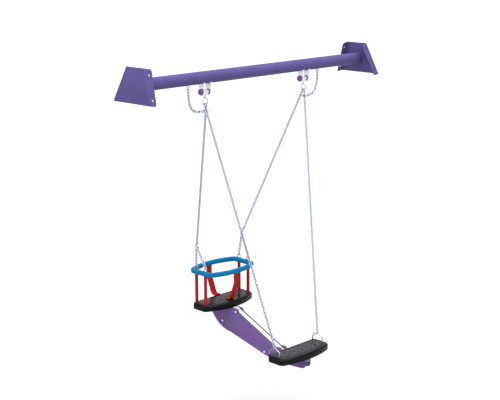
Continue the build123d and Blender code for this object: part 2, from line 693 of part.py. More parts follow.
def tube_line(depth):
    """The tube's side line at a square depth below its upper face, from rear to front."""
    shift = depth * math.tan(math.atan(tube_slope()) / 2)
    return [
        (TUBE_REAR, CRADLE_UNDER - depth),
        (TUBE_REAR_BEND + shift, CRADLE_UNDER - depth),
        (TUBE_FRONT_BEND + shift, FLAT_UNDER - depth),
        (TUBE_FRONT, FLAT_UNDER - depth),
    ]


def tube_top_at(y):
    """Height of the sloping part's upper face."""
    return CRADLE_UNDER + tube_slope() * (y - TUBE_REAR_BEND)


def board_bolt_places():
    """Y and Z of the four bolts through the side boards, tube bolts first."""
    slant = math.sqrt(1 + tube_slope() ** 2)
    rear_y = TUBE_REAR_BEND - TUBE_BOLT
    front_y = TUBE_FRONT_BEND - TUBE_BOLT
    return [
        (rear_y, tube_top_at(rear_y) - slant * TUBE_HEIGHT / 2),
        (front_y, FLAT_UNDER - TUBE_HEIGHT / 2),
        (TUBE_REAR_BEND + REAR_BOARD_BOLT, CRADLE_UNDER - REAR_BOARD_BOLT_DEPTH),
        (TUBE_FRONT_BEND + FRONT_BOARD_BOLT, FLAT_UNDER - FRONT_BOARD_BOLT_DEPTH),
    ]


def board_lip_at(y):
    """Point on the board's sloping edge."""
    return (y, tube_top_at(y) + BOARD_LIP)


def board_outline():
    """Side board's outline in Y and Z: two raised shoulders over a deep curved belly."""
    rear = TUBE_REAR + BOARD_REAR
    shoulder = TUBE_REAR_BEND - BOARD_SHOULDER
    horn = TUBE_FRONT_BEND + BOARD_HORN
    horn_top = FLAT_UNDER + BOARD_HORN_RISE
    belly = FLAT_UNDER - BOARD_BELLY
    nose = (TUBE_FRONT, belly + BOARD_NOSE_RISE)
    keel = (BOARD_KEEL_Y, belly + BOARD_KEEL_RISE)
    haunch = (TUBE_REAR_BEND + BOARD_HAUNCH, CRADLE_UNDER - BOARD_HAUNCH_DEPTH)
    curve = (TUBE_REAR_BEND + BOARD_CURVE, CRADLE_UNDER - BOARD_CURVE_DEPTH)
    heel = (rear, CRADLE_UNDER - BOARD_REAR_DEPTH)
    upper = Polyline(
        heel,
        (rear, CRADLE_UNDER),
        (shoulder, CRADLE_UNDER),
        board_lip_at(shoulder - BOARD_STEP),
        board_lip_at(horn + BOARD_STEP),
        (horn, horn_top),
        (horn - BOARD_HORN_TOP, horn_top),
        (horn - BOARD_HORN_TOP - BOARD_HORN_FALL, FLAT_UNDER),
        (TUBE_FRONT, FLAT_UNDER),
        nose,
    )
    front_belly = ThreePointArc(nose, (BOARD_BELLY_Y, belly), keel)
    rear_belly = ThreePointArc(haunch, curve, heel)
    return make_face(upper.edges() + [front_belly, Line(keel, haunch), rear_belly])


def rounded_board():
    """Board outline with its free corners rounded."""
    face = board_outline()
    horn = TUBE_FRONT_BEND + BOARD_HORN
    horn_top = FLAT_UNDER + BOARD_HORN_RISE
    nose = (TUBE_FRONT, FLAT_UNDER - BOARD_BELLY + BOARD_NOSE_RISE)
    corners = [
        (nose, BOARD_NOSE_RADIUS),
        ((horn, horn_top), BOARD_EDGE_RADIUS),
        ((horn - BOARD_HORN_TOP, horn_top), BOARD_EDGE_RADIUS),
        ((TUBE_REAR_BEND - BOARD_SHOULDER, CRADLE_UNDER), BOARD_EDGE_RADIUS),
    ]
    for place, radius in corners:
        face = fillet([face.vertices().sort_by_distance(place)[0]], radius)
    return face


def build_link_beam():
    """Bent tube, two side boards and the hardware that joins them."""
    outer = make_face(Polyline(*tube_line(0), *reversed(tube_line(TUBE_HEIGHT)), close=True))
    inner = make_face(Polyline(*tube_line(TUBE_WALL), *reversed(tube_line(TUBE_HEIGHT - TUBE_WALL)),
                               close=True))
    tube = plate_yz(outer, 0, TUBE_WIDTH) - plate_yz(inner, 0, TUBE_WIDTH - 2 * TUBE_WALL)
    places = board_bolt_places()
    bolts, nuts, spacers = [], [], []
    for y, z in places:
        bolt = along_x(BOARD_BOLT / 2, -HALF_BEAM, HALF_BEAM + BOARD_HEAD, y, z)
        bolt += along_x(BOARD_HEAD_DIAMETER / 2, -HALF_BEAM - BOARD_HEAD, -HALF_BEAM, y, z)
        nut = along_x(BOARD_HEAD_DIAMETER / 2, HALF_BEAM, HALF_BEAM + CAP_NUT_RISE, y, z)
        bolts.append(bolt)
        nuts.append(nut - bolt)
    for y, z in places[2:]:
        spacer = along_x(SPACER_DIAMETER / 2, -TUBE_WIDTH / 2, TUBE_WIDTH / 2, y, z)
        spacers.append(spacer - along_x(BOARD_BOLT / 2, -TUBE_WIDTH, TUBE_WIDTH, y, z))
    seat_fixings = seat_bolts((CRADLE_BOLT_FRONT, CRADLE_BOLT_REAR), CRADLE_UNDER, CRADLE_TOP)
    seat_fixings += seat_bolts((FLAT_BOLT_FRONT, FLAT_BOLT_REAR), FLAT_UNDER, FLAT_TOP)
    for piece in bolts + seat_fixings:
        tube -= piece
    plugs = []
    for y, z, inward in ((TUBE_REAR, CRADLE_UNDER, -1), (TUBE_FRONT, FLAT_UNDER, 1)):
        plug = Box(TUBE_WIDTH - 2 * TUBE_WALL, PLUG_DEPTH, TUBE_HEIGHT - 2 * TUBE_WALL)
        plugs.append(Pos(0, y + inward * PLUG_DEPTH / 2, z - TUBE_HEIGHT / 2) * plug)
    board = rounded_board()
    for name, side in SIDES:
        middle = side * (TUBE_WIDTH + BOARD) / 2
        panel = plate_yz(board, middle, BOARD)
        for bolt in bolts:
            panel -= bolt
        keep(f"{name}_side_board", panel)
    keep("link_tube", tube)
    keep("link_tube_plugs", *plugs)
    keep("board_bolts", *bolts)
    keep("board_cap_nuts", *nuts)
    keep("board_spacers", *spacers)


def safety_curve(side):
    """Hanging curve of the safety chain, from the lug's hole to the connector."""
    rise = LINK_BEND - math.sqrt(LINK_BEND ** 2 - (LUG_SHEET / 2) ** 2) + 3 * LINK_PLAY
    top = Vector(side * LUG_X, 0, LUG_HOLE_Z - (LUG_HOLE_DIAMETER - WIRE) / 2 + rise)
    end = connector_leg(side)
    corner = Vector(top.X, end.Y, end.Z - SAFETY_DIP)
    first = top + (corner - top) * SAFETY_FALL
    second = end + (corner - end) * SAFETY_RUN
    return Bezier(top, first, second, end)


def build_safety_chain(name, side):
    """Slack chain from the lug to the connector, in an upper and a lower run of links."""
    curve = safety_curve(side)
    seat = (WIRE + SAFETY_PLAY) / 2
    past = hook_reach(curve % 1, ACROSS, CONNECTOR_WIRE) - seat
    usable = curve.length - seat + past
    count = 2 * round((usable / LINK_PITCH - 1) / 2) + 1
    joints = [curve @ ((seat + index * usable / count) / curve.length) for index in range(count)]
    joints.append(curve @ 1 + (curve % 1) * past)
    pitch = sum((joints[i + 1] - joints[i]).length for i in range(count)) / count
    link = swept_bar(stadium(pitch + SAFETY_PLAY + WIRE, 2 * LINK_BEND), WIRE)
    links = []
    for index in range(count):
        direction = (joints[index + 1] - joints[index]).normalized()
        flat = Vector(0, 1, 0) if index % 2 == 0 else direction.cross(Vector(0, 1, 0))
        middle = (joints[index] + joints[index + 1]) / 2
        place = Plane(origin=middle, x_dir=flat.cross(direction), z_dir=direction)
        links.append(place.location * link)
    split = count // 3
    turn = joints[split] - (joints[split + 1] - joints[split]).normalized() * seat
    print(name, "safety chain links", count, "pitch", round(pitch, 2), "lower run turns at",
          [round(v, 2) for v in turn])
    keep(f"{name}_safety_chain_upper", *links[:split])
    keep(f"{name}_safety_chain_lower", *links[split:])


def chain_point(side, chain_side, end, index):
    """Centre of a link near the top of a main chain, counted from the shackle."""
    start = shackle_bar(side, chain_side)
    direction = (end - start).normalized()
    half = (LINK_PITCH + LINK_PLAY + WIRE) / 2
    reach = hook_reach(direction, ALONG_BEAM, SHACKLE_WIRE)
    return start + direction * (half - reach + LINK_PITCH * index)


def connector_ends(side):
    """Where the connector passes through the two main chains, parent's chain first."""
    parent = chain_point(side, side, bail_apex(side), CONNECTOR_LINK)
    child = chain_point(side, -side, split_top(side), CONNECTOR_LINK)
    return parent, child


def connector_plane(side):
    """Plane of the connector: local X is along the beam and local Y runs between the chains."""
    parent, child = connector_ends(side)
    along = Vector(0, child.Y - parent.Y, child.Z - parent.Z).normalized()
    return Plane(origin=(parent + child) / 2, x_dir=(1, 0, 0), z_dir=Vector(1, 0, 0).cross(along))


def connector_leg(side):
    """Where the safety chain hooks on the connector's outer leg."""
    plane = connector_plane(side)
    leg_y = (CONNECTOR_HOOK_Y - plane.origin.Y) / plane.y_dir.Y
    return plane.from_local_coords(Vector(side * CONNECTOR_WIDTH / 2, leg_y, 0))


def build_connector(name, side):
    """Long closed link that ties both main chains to the safety chain."""
    parent, child = connector_ends(side)
    length = math.hypot(child.Y - parent.Y, child.Z - parent.Z)
    outline = RectangleRounded(CONNECTOR_WIDTH, length, CONNECTOR_CORNER)
    loop = swept_bar(outline.face().outer_wire(), CONNECTOR_WIRE)
    keep(f"{name}_safety_connector", connector_plane(side).location * loop)


def build_all():
    """Build every node."""
    build_crossbeam()
    build_cradle()
    build_flat_seat()
    build_link_beam()
    pins = [build_pin(name, side * HANGER_X) for name, side in SIDES]
    keep("pivot_bolts", *[bolt for bolt, _ in pins])
    keep("pivot_nuts", *[nut for _, nut in pins])
    for name, side in SIDES:
        build_bracket(name, side)
        build_ears(name, side * HANGER_X)
        build_bearing(name, side * HANGER_X)
        build_shackle(name, side * HANGER_X)
        build_lug(name, side)
        build_main_chains(name, side)
        build_bridles(name, side)
        build_cradle_bails(name, side)
        build_safety_chain(name, side)
        build_connector(name, side)


build_all()
os.makedirs("parts", exist_ok=True)
for node, solids in NODES.items():
    shape = solids[0] if len(solids) == 1 else Compound(children=solids)
    export_step(shape, f"parts/{node}.step")
print(len(NODES), "nodes")
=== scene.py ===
import json
import math

import bmesh
import bpy
import numpy as np
from mathutils import Matrix, Vector

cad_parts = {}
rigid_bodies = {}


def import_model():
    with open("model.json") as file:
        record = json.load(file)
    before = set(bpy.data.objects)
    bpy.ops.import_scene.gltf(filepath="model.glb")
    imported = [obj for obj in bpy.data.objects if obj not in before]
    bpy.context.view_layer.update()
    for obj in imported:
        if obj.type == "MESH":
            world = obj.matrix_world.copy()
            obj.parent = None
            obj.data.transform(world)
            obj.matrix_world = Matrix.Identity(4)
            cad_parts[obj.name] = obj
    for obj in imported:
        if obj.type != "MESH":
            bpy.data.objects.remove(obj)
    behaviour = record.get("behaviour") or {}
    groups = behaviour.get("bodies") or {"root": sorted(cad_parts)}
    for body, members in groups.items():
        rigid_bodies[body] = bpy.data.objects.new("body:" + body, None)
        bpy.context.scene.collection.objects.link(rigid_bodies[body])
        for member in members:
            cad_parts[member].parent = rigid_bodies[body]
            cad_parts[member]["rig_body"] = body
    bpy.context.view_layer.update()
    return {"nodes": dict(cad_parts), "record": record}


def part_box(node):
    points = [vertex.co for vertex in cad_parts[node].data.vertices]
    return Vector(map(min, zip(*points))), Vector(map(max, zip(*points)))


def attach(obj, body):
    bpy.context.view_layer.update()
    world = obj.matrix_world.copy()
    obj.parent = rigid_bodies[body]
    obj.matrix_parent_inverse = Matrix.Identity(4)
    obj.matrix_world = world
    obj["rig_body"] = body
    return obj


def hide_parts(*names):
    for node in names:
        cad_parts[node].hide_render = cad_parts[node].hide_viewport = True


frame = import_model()

# Looks of the tandem swing module. Metres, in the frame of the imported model: X runs along the
# crossbeam, +Y points to the cradle seat's side and Z is up.

NODES = frame["nodes"]
SIDES = (("left", -1), ("right", 1))
X_AXIS, Z_AXIS = Vector((1, 0, 0)), Vector((0, 0, 1))
MM = 0.001


def centre_of(node):
    """Centre of a node's box."""
    low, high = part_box(node)
    return (low + high) / 2


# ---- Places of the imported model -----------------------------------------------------
BEAM_RADIUS = -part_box("crossbeam_tube")[0].z
HANGER_X = centre_of("right_bearing_tube").x
PIVOT_Z = centre_of("pivot_bolts").z
LUG_X = centre_of("right_safety_lug").x
CRADLE_Y = centre_of("cradle_ring_cover").y
CRADLE_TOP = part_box("cradle_seat")[1].z
RING_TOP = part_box("cradle_ring_cover")[1].z
POST_X = centre_of("right_cradle_bails").x
FLAT_Y = centre_of("right_flat_seat_bail").y
FLAT_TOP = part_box("flat_seat")[1].z
FLAT_BAIL_X = centre_of("right_flat_seat_bail").x

# ---- Sizes shared with the part -----------------------------------------------------
BEAM_HALF = 990 * MM               # to the webs, along the beam's axis
BEAM_WALL = 2.9 * MM
WEB_LEAN = math.radians(10)
EAR_OFFSET = 28 * MM               # middle of an ear from the middle of its hanger
EAR_HALF_SHEET = 2.5 * MM
EAR_HALF_WIDTH = 26.5 * MM
LUG_HALF_SHEET = 3 * MM
LUG_HALF_WIDTH = 20 * MM
CAP_RADIUS = 19.5 * MM
CAP_POCKET = 12 * MM               # radius of the pocket round the bolt's head
CHAIN_WIRE = 6 * MM
POST_Y = 43 * MM                   # posts and bails in front of and behind the cradle's middle
BAIL_LEG = 11.5 * MM               # half the distance between a ring bail's legs
FLAT_BAIL_LEG = 41 * MM
RING_HALF_HEIGHT = 16.5 * MM
RING_HALF_WIDTH = 12 * MM
STRAP_HALF_WIDTH = 23.5 * MM
STRAP_HALF = 4.5 * MM              # half a strap's thickness
RING_REACH = 132 * MM              # ring's and straps' middle line, from the cradle's middle
RING_END = 86 * MM                 # where the ring's bowed sides meet its ends
RING_WIRE = 6.5 * MM               # wire of the bails on the ring
SEAT_WIRE = 7 * MM                 # wire of the bails on the flat seat
SEAT_CORNER = 30 * MM

# ---- Details that only the looks have -----------------------------------------------
BALL_DOME = 17 * MM                # cap over a bolt's head, above its straight part
LOW_DOME = 8.5 * MM                # cap over a nut
CAP_STRAIGHT = 5 * MM
STRAP_CLEAR_Y = 66 * MM            # middle of the place that the tread leaves to a strap's foot
LINK_SIDES = 10                    # sides of a link's wire
ARC_STEPS = 8                      # steps round a link's crown

# ---- Camera, floor and light --------------------------------------------------------
CAMERA_PLACE = Vector((-5.28224, -5.19550, 0.90173))
CAMERA_YAW = math.radians(45.14379)
CAMERA_PITCH = math.radians(13.13805)
CAMERA_ROLL = math.radians(-0.24329)
CAMERA_LENS = 85.67
FLOOR_Z = -2.25
FLOOR_HALF = 60.0
ROOM_LIGHT = 1.0
SOFTBOX_FROM = (-0.20, -0.20, 0.96)
SOFTBOX_LIGHT = 5.7
SOFTBOX_SPREAD = 90


def add_camera():
    """Camera at the fitted place, looking down a little at the module."""
    ahead = Vector((math.sin(CAMERA_YAW) * math.cos(CAMERA_PITCH),
                    math.cos(CAMERA_YAW) * math.cos(CAMERA_PITCH), -math.sin(CAMERA_PITCH)))
    level = Vector((math.cos(CAMERA_YAW), -math.sin(CAMERA_YAW), 0))
    upright = level.cross(ahead)
    right = level * math.cos(CAMERA_ROLL) + upright * math.sin(CAMERA_ROLL)
    up = upright * math.cos(CAMERA_ROLL) - level * math.sin(CAMERA_ROLL)
    data = bpy.data.cameras.new("camera")
    data.lens = CAMERA_LENS
    data.sensor_width = 36.0
    data.clip_end = 200.0
    camera = bpy.data.objects.new("camera", data)
    turn = Matrix((right, up, -ahead)).transposed()
    camera.matrix_world = Matrix.Translation(CAMERA_PLACE) @ turn.to_4x4()
    bpy.context.scene.collection.objects.link(camera)
    bpy.context.scene.camera = camera


def soft_sun(name, direction, strength, spread):
    """Very soft parallel light that comes from a direction."""
    data = bpy.data.lights.new(name, "SUN")
    data.energy = strength
    data.angle = math.radians(spread)
    lamp = bpy.data.objects.new(name, data)
    lamp.rotation_euler = Vector(direction).to_track_quat("Z", "Y").to_euler()
    bpy.context.scene.collection.objects.link(lamp)


def add_studio():
    """White room light, an overhead softbox and a pale floor."""
    world = bpy.data.worlds.new("studio")
    world.use_nodes = True
    background = world.node_tree.nodes["Background"]
    background.inputs["Color"].default_value = (1, 1, 1, 1)
    background.inputs["Strength"].default_value = ROOM_LIGHT
    bpy.context.scene.world = world
    bpy.context.scene.view_settings.view_transform = "Standard"
    soft_sun("overhead", SOFTBOX_FROM, SOFTBOX_LIGHT, SOFTBOX_SPREAD)
    mesh = bpy.data.meshes.new("floor")
    corners = [(x * FLOOR_HALF, y * FLOOR_HALF, FLOOR_Z)
               for x, y in ((-1, -1), (1, -1), (1, 1), (-1, 1))]
    mesh.from_pydata(corners, [], [(0, 1, 2, 3)])
    floor = bpy.data.objects.new("floor", mesh)
    mesh.materials.append(finish("floor_paint", (0.42, 0.42, 0.42), (0.43, 0.43, 0.43), 3.0, (0.8, 0.9)))
    bpy.context.scene.collection.objects.link(floor)


# ---- Materials ----------------------------------------------------------------------
def finish(name, dark, light, scale, rough, metallic=0.0, specular=0.5, bump=0.0, grain=900.0,
           pattern="noise"):
    """Procedural finish: mottled colour, varied roughness and fine grain."""
    material = bpy.data.materials.new(name)
    material.use_nodes = True
    tree = material.node_tree
    nodes, links = tree.nodes, tree.links
    shader = nodes["Principled BSDF"]
    shader.inputs["Metallic"].default_value = metallic
    shader.inputs["Specular IOR Level"].default_value = specular
    place = nodes.new("ShaderNodeTexCoord")
    if pattern == "spangle":
        field = nodes.new("ShaderNodeTexVoronoi")
        value = field.outputs["Color"]
    else:
        field = nodes.new("ShaderNodeTexNoise")
        field.inputs["Detail"].default_value = 5.0
        value = field.outputs["Fac"]
    field.inputs["Scale"].default_value = scale
    links.new(place.outputs["Object"], field.inputs["Vector"])
    ramp = nodes.new("ShaderNodeValToRGB")
    ramp.color_ramp.elements[0].position = 0.3
    ramp.color_ramp.elements[1].position = 0.7
    ramp.color_ramp.elements[0].color = (*dark, 1)
    ramp.color_ramp.elements[1].color = (*light, 1)
    links.new(value, ramp.inputs["Fac"])
    links.new(ramp.outputs["Color"], shader.inputs["Base Color"])
    spread = nodes.new("ShaderNodeMapRange")
    spread.inputs["To Min"].default_value = rough[0]
    spread.inputs["To Max"].default_value = rough[1]
    smudge = nodes.new("ShaderNodeTexNoise")
    smudge.inputs["Scale"].default_value = scale * 3.1
    smudge.inputs["Detail"].default_value = 4.0
    links.new(place.outputs["Object"], smudge.inputs["Vector"])
    links.new(smudge.outputs["Fac"], spread.inputs["Value"])
    links.new(spread.outputs["Result"], shader.inputs["Roughness"])
    if bump:
        fine = nodes.new("ShaderNodeTexNoise")
        fine.inputs["Scale"].default_value = grain
        fine.inputs["Detail"].default_value = 3.0
        links.new(place.outputs["Object"], fine.inputs["Vector"])
        relief = nodes.new("ShaderNodeBump")
        relief.inputs["Strength"].default_value = bump
        relief.inputs["Distance"].default_value = 0.0004
        links.new(fine.outputs["Fac"], relief.inputs["Height"])
        links.new(relief.outputs["Normal"], shader.inputs["Normal"])
    return material


def finish_of(node):
    """Finish that a CAD node gets: its slot's, or its own where it looks different."""
    if node.endswith(("_hanger_shackle", "_split_loop", "_safety_connector")):
        return "galvanised_chain"
    if node.endswith("_bearing_tube"):
        return "bearing_zinc"
    return SLOT_OF[node]


# ---- Mesh tools ---------------------------------------------------------------------
def circle(radius, count=16):
    """Round section as pairs of offsets."""
    return [(radius * math.cos(math.tau * i / count), radius * math.sin(math.tau * i / count))
            for i in range(count)]


def rounded_section(half_a, half_b, corner, steps=5):
    """Rectangular section with round corners."""
    points = []
    for quarter in range(4):
        sign_a = (1, -1, -1, 1)[quarter]
        sign_b = (1, 1, -1, -1)[quarter]
        for i in range(steps + 1):
            angle = math.pi / 2 * (quarter + i / steps)
            points.append((sign_a * (half_a - corner) + corner * math.cos(angle),
                           sign_b * (half_b - corner) + corner * math.sin(angle)))
    return points


def loft(rings, loop=False):
    """Skin over rings of equal length, closed by end faces unless it loops."""
    size, count = len(rings[0]), len(rings)
    verts = [p for ring in rings for p in ring]
    faces = []
    for i in range(count if loop else count - 1):
        a, b = i * size, (i + 1) % count * size
        faces += [(a + j, a + (j + 1) % size, b + (j + 1) % size, b + j) for j in range(size)]
    if not loop:
        faces += [tuple(range(size)), tuple(range((count - 1) * size, count * size))]
    return verts, faces


def sweep(path, normal, section, loop=False, scales=None):
    """Section carried along a path that lies in the plane square to normal."""
    rings = []
    count = len(path)
    for i, point in enumerate(path):
        before = path[i - 1] if loop or i else point
        after = path[(i + 1) % count] if loop or i < count - 1 else point
        side = (after - before).normalized().cross(normal)
        grow = scales[i] if scales else 1.0
        rings.append([point + normal * (a * grow) + side * (b * grow) for a, b in section])
    return loft(rings, loop)


def lathe(profile, origin, axis, count=40, lobes=None):
    """Turned shape: profile holds (distance along the axis, radius) pairs."""
    side = axis.orthogonal().normalized()
    other = axis.cross(side)
    rings = []
    for along, radius in profile:
        ring = []
        for i in range(count):
            angle = math.tau * i / count
            lift = lobes(radius, angle) if lobes else 0.0
            out = side * math.cos(angle) + other * math.sin(angle)
            ring.append(origin + axis * (along + lift) + out * max(radius, 0.00002))
        rings.append(ring)
    return loft(rings)


def fillet_path(corners, radii, step=9.0):
    """Open line through corners with each inner corner rounded."""
    path = [corners[0]]
    for i, radius in zip(range(1, len(corners) - 1), radii):
        here = corners[i]
        back = (corners[i - 1] - here).normalized()
        ahead = (corners[i + 1] - here).normalized()
        half = back.angle(ahead) / 2
        centre = here + (back + ahead).normalized() * (radius / math.sin(half))
        start = here + back * (radius / math.tan(half)) - centre
        end = here + ahead * (radius / math.tan(half)) - centre
        steps = max(2, round(math.degrees(math.pi - 2 * half) / step))
        turn = start.angle(end)
        for k in range(steps + 1):
            share = k / steps
            blend = (start * math.sin((1 - share) * turn) + end * math.sin(share * turn))
            path.append(centre + blend / math.sin(turn))
    path.append(corners[-1])
    return path


def outline(half, ends, mids, corner, grow=0.0, arc=28, bend=8):
    """Closed outline with straight ends and bowed or straight long sides, front then back."""
    points = []
    for row, end, mid in ((-1, ends[0], mids[0]), (1, ends[1], mids[1])):
        place_x = half - corner
        if mid > end:
            rise = mid - end
            radius = (half ** 2 + rise ** 2) / (2 * rise)
            middle = mid - radius
            place_y = middle + math.sqrt((radius - corner) ** 2 - place_x ** 2)
            limit = math.atan2(place_y - middle, place_x)
        else:
            place_y = end - corner
            limit = math.pi / 2
        side = []
        for i in range(bend + 1):
            angle = limit * i / bend
            side.append((place_x + (corner + grow) * math.cos(angle),
                         place_y + (corner + grow) * math.sin(angle)))
        mirrored = [(-x, y) for x, y in reversed(side)]
        between = []
        for i in range(1, arc):
            if mid > end:
                angle = limit + (math.pi - 2 * limit) * i / arc
                between.append(((radius + grow) * math.cos(angle),
                                middle + (radius + grow) * math.sin(angle)))
            else:
                between.append((place_x * (1 - 2 * i / arc), end + grow))
        side += between + mirrored
        if row < 0:
            side = [(x, -y) for x, y in reversed(side)]
        points += side
    return points


def piece(name, shells, body, slots, nodes=(), crease=38.0):
    """Object from shells of (verts, faces), or with a slot number for all or for each face."""
    mesh = bpy.data.meshes.new(name)
    verts, faces, marks = [], [], []
    for shell in shells:
        base = len(verts)
        verts += [tuple(v) for v in shell[0]]
        faces += [tuple(base + i for i in face) for face in shell[1]]
        mark = shell[2] if len(shell) > 2 else 0
        marks += mark if isinstance(mark, list) else [mark] * len(shell[1])
    mesh.from_pydata(verts, [], faces)
    mesh.polygons.foreach_set("material_index", marks)
    work = bmesh.new()
    work.from_mesh(mesh)
    bmesh.ops.recalc_face_normals(work, faces=work.faces)
    work.to_mesh(mesh)
    work.free()
    return dress(name, mesh, body, slots, nodes, crease)


def dress(name, mesh, body, slots, nodes, crease):
    """Shading, finishes and body of a new object."""
    for item in slots:
        mesh.materials.append(FINISHES[item])
    mesh.polygons.foreach_set("use_smooth", [True] * len(mesh.polygons))
    mesh.set_sharp_from_angle(angle=math.radians(crease))
    made = bpy.data.objects.new(name, mesh)
    bpy.context.scene.collection.objects.link(made)
    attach(made, body)
    if nodes:
        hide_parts(*nodes)
    return made


def cad_mesh(node):
    """Copy of a CAD node's mesh with its seams joined."""
    work = bmesh.new()
    work.from_mesh(NODES[node].data)
    bmesh.ops.remove_doubles(work, verts=work.verts, dist=2e-6)
    return work


def refined(node, width, body, segments=2, faces_slot=None):
    """CAD shape with its hard edges broken; faces_slot is (core finish, finish of its two faces)."""
    work = cad_mesh(node)
    bmesh.ops.dissolve_limit(work, angle_limit=math.radians(0.5), verts=work.verts, edges=work.edges)
    hard = [e for e in work.edges if len(e.link_faces) == 2
            and e.calc_face_angle(0) > math.radians(50)]
    bmesh.ops.bevel(work, geom=hard, offset=width, segments=segments, affect="EDGES",
                    profile=0.5, clamp_overlap=True)
    bmesh.ops.recalc_face_normals(work, faces=work.faces)
    if faces_slot:
        for face in work.faces:
            face.material_index = 1 if abs(face.normal.x) > 0.95 else 0
    mesh = bpy.data.meshes.new(node + "_finished")
    work.to_mesh(mesh)
    work.free()
    slots = list(faces_slot) if faces_slot else [finish_of(node)]
    return dress(node + "_finished", mesh, body, slots, [node], 32.0)


def islands(node):
    """Vertices of each separate solid of a CAD node, as arrays."""
    work = cad_mesh(node)
    seen, found = set(), []
    for start in work.verts:
        if start.index in seen:
            continue
        seen.add(start.index)
        stack, group = [start], []
        while stack:
            vert = stack.pop()
            group.append(vert.co[:])
            for edge in vert.link_edges:
                other = edge.other_vert(vert)
                if other.index not in seen:
                    seen.add(other.index)
                    stack.append(other)
        found.append(np.array(group))
    work.free()
    return found


# ---- Chains -------------------------------------------------------------------------
def chain_link(points, wire):
    """Smooth link with a weld bulge, laid in the place of a CAD link; its crown faces, where links
    interlock, are darkened as painted shade with some rubbed wear.
    """
    _, _, axes = np.linalg.svd(points - points.mean(0), full_matrices=False)
    low, high = (points @ axes.T).min(0), (points @ axes.T).max(0)
    centre = Vector(((low + high) / 2) @ axes)
    length, width = (high - low)[:2]
    along, across = Vector(axes[0]), Vector(axes[1])
    normal = along.cross(across)
    arc = (width - wire) / 2
    straight = (length - wire) / 2 - arc
    path, scales, shaded_crowns = [], [], []
    for end in (1, -1):
        top = len(path) + ARC_STEPS // 2
        shaded_crowns += range(top - 2, top + 2)
        for i in range(ARC_STEPS + 1):
            angle = math.pi * i / ARC_STEPS
            path.append(centre + across * (arc * math.cos(angle) * end)
                        + along * ((straight + arc * math.sin(angle)) * end))
            scales.append(1.0)
        shares = (0.5, 0.0, -0.5) if end > 0 else (0.3, 0.14, 0.0, -0.14, -0.3)
        bulges = (1.0, 1.0, 1.0) if end > 0 else (1.0, 1.10, 1.13, 1.10, 1.0)
        for share, bulge in zip(shares, bulges):
            path.append(centre - across * (arc * end) + along * (straight * share * end))
            scales.append(bulge)
    verts, faces = sweep(path, normal, circle(wire / 2, LINK_SIDES), loop=True, scales=scales)
    # Faces round each crown take the second finish: painted shade where the links interlock, with some
    # rubbed wear.
    marks = [int(i // LINK_SIDES in shaded_crowns) for i in range(len(faces))]
    return verts, faces, marks


def add_chains():
    """Every link of every chain, one piece per CAD node."""
    for node in sorted(NODES):
        if not node.split("_upper")[0].split("_lower")[0].endswith("chain"):
            continue
        shells = [chain_link(points, CHAIN_WIRE) for points in islands(node)]
        piece(node + "_links", shells, BODY_OF[node], ["galvanised_chain", "chain_crown_wear_and_shade"], [node],
              crease=80)


# ---- Seats --------------------------------------------------------------------------
def seat_profile():
    """Seat's edge from underside to tread, as (growth, height below the top) in millimetres."""
    thick, turn = 45, 6
    profile = [(-26, -thick), (-turn, -thick)]
    profile += [(-turn + turn * math.sin(math.radians(a)),
                 turn - thick - turn * math.cos(math.radians(a))) for a in (22.5, 45, 67.5, 90)]
    profile += [(0, -24.2), (0.35, -23.9), (0.35, -23.3), (0, -23), (0, -10.4), (-0.4, -9.2),
                (-1.2, -8.2), (-8.0, -1.4), (-9.0, -0.6), (-10.4, -0.1), (-11.6, 0), (-15.4, 0),
                (-16.0, -0.9), (-17.6, -0.9), (-18.2, 0)]
    return profile


def tread(outer, top, middle_y, keep_clear):
    """Rows of long raised ribs on a seat, inside its border groove."""
    shells = []
    pitch, rib, gap, width = 19 * MM, 116 * MM, 5 * MM, 14.2 * MM
    border, shortest = 23 * MM, 14 * MM
    inside = outline(*outer, grow=-border)
    low_y, high_y = min(p[1] for p in inside), max(p[1] for p in inside)
    rows = int((high_y - low_y) / pitch)
    start = (low_y + high_y) / 2 - rows * pitch / 2
    for row in range(rows + 1):
        y = start + row * pitch
        reach = row_reach(inside, outer_edge(inside, y, width))
        if reach < rib / 2:
            continue
        shift = 0.0 if row % 2 else (rib + gap) / 2
        for number in range(-3, 4):
            x0 = number * (rib + gap) + shift - rib / 2
            x1 = x0 + rib
            x0, x1 = max(x0, -reach), min(x1, reach)
            if x1 - x0 < shortest or keep_clear((x0 + x1) / 2, y, (x1 - x0) / 2):
                continue
            shells.append(rib_box(x0, x1, middle_y + y, width, top))
    return shells


def outer_edge(points, y, width):
    """Place of the rib edge that lies nearer to the outline."""
    middle = (min(p[1] for p in points) + max(p[1] for p in points)) / 2
    return y + math.copysign(width / 2, y - middle)


def row_reach(points, y):
    """Half length of a row inside a closed outline."""
    crossings = []
    for (x0, y0), (x1, y1) in zip(points, points[1:] + points[:1]):
        if (y0 - y) * (y1 - y) < 0:
            crossings.append(abs(x0 + (x1 - x0) * (y - y0) / (y1 - y0)))
    return min(crossings) if crossings else 0.0


def rib_box(x0, x1, y, width, top):
    """One low rib with sloping sides."""
    rise, sink, slope = 1.4 * MM, 0.4 * MM, 0.7 * MM
    rings = []
    for z, inset in ((top - sink, 0.0), (top + 0.1 * MM, 0.0), (top + rise, slope)):
        rings.append([Vector((x, yy, z)) for x, yy in (
            (x0 + inset, y - width / 2 + inset), (x1 - inset, y - width / 2 + inset),
            (x1 - inset, y + width / 2 - inset), (x0 + inset, y + width / 2 - inset))])
    return loft(rings)


